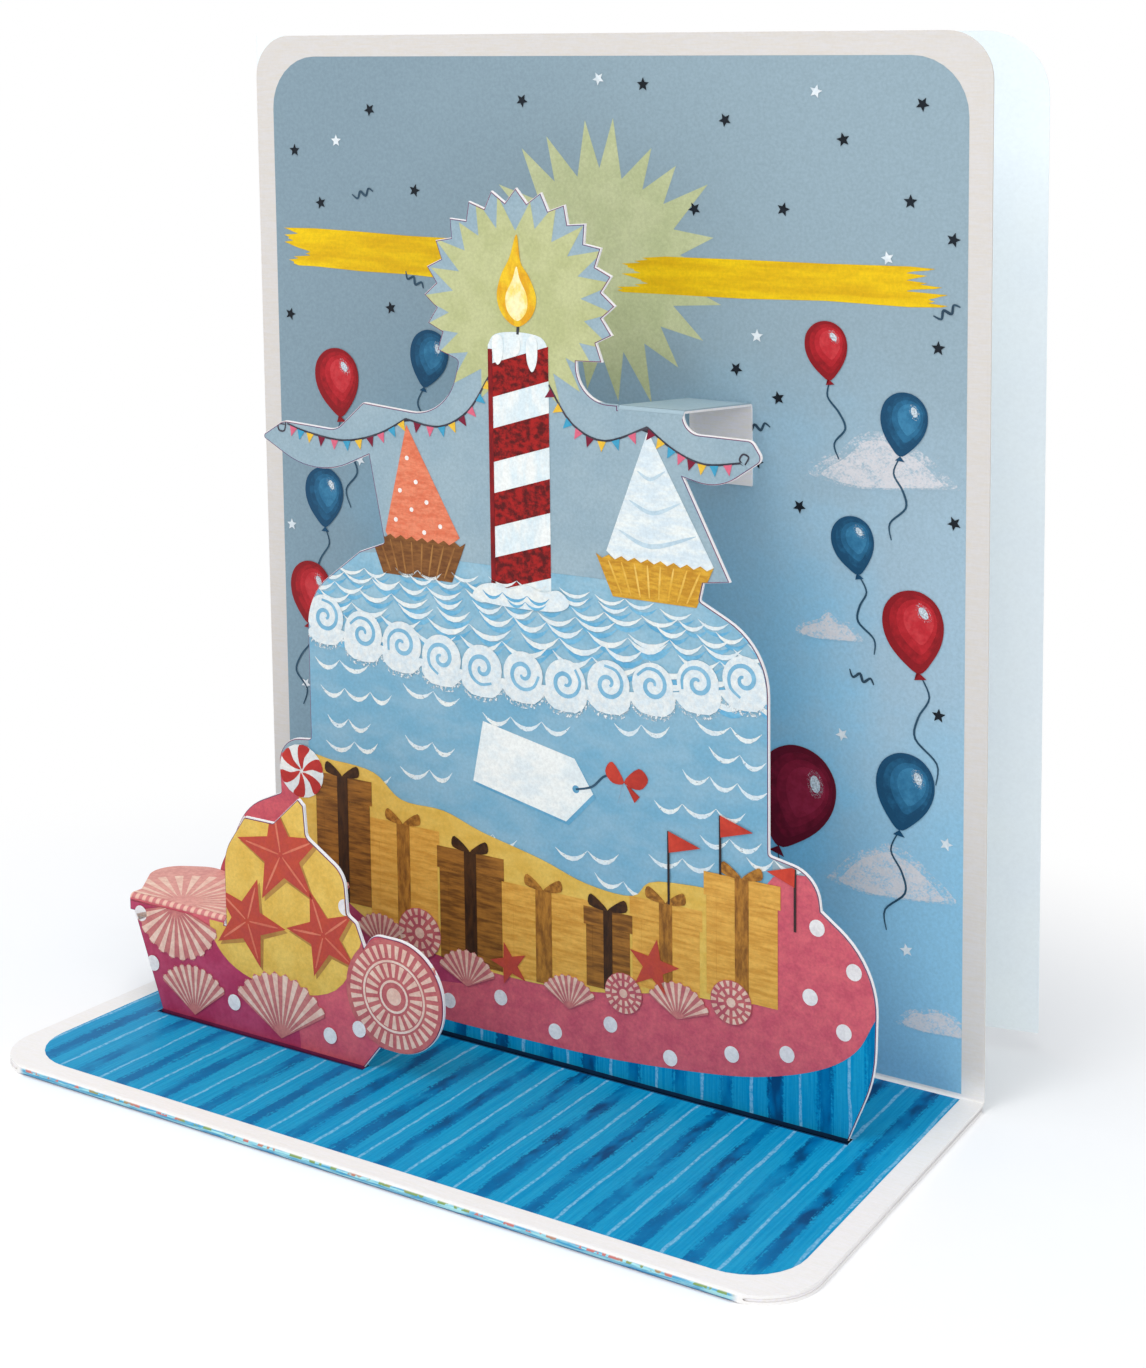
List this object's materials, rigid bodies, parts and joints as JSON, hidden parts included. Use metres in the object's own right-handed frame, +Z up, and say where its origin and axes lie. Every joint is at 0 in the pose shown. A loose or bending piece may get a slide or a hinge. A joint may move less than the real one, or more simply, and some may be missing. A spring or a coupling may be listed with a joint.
{
  "type": "pop up card",
  "caption": "Standing pop up greeting card: a printed base and back panel, two die-cut layers on folded platforms and a plain folded writing card behind",
  "frame": {"origin": "the middle of the base panel's underside, on the surface that the card stands on", "axes": "+Z up, +Y from the base's front edge towards the back panel, +X to the right as the scene is looked at"},
  "size_m": [0.1514, 0.1081, 0.1834],
  "materials": {
    "printed_sheet": "printed, satin",
    "layer_card": "printed, satin",
    "strut_card": "uncoated white",
    "writing_card": "smooth, uncoated"
  },
  "bodies": {
    "root": {"scene_sheet": "printed_sheet", "cake_layer": "layer_card", "front_layer": "layer_card", "left_strut": "strut_card", "writing_card": "writing_card"}
  },
  "joints": []
}
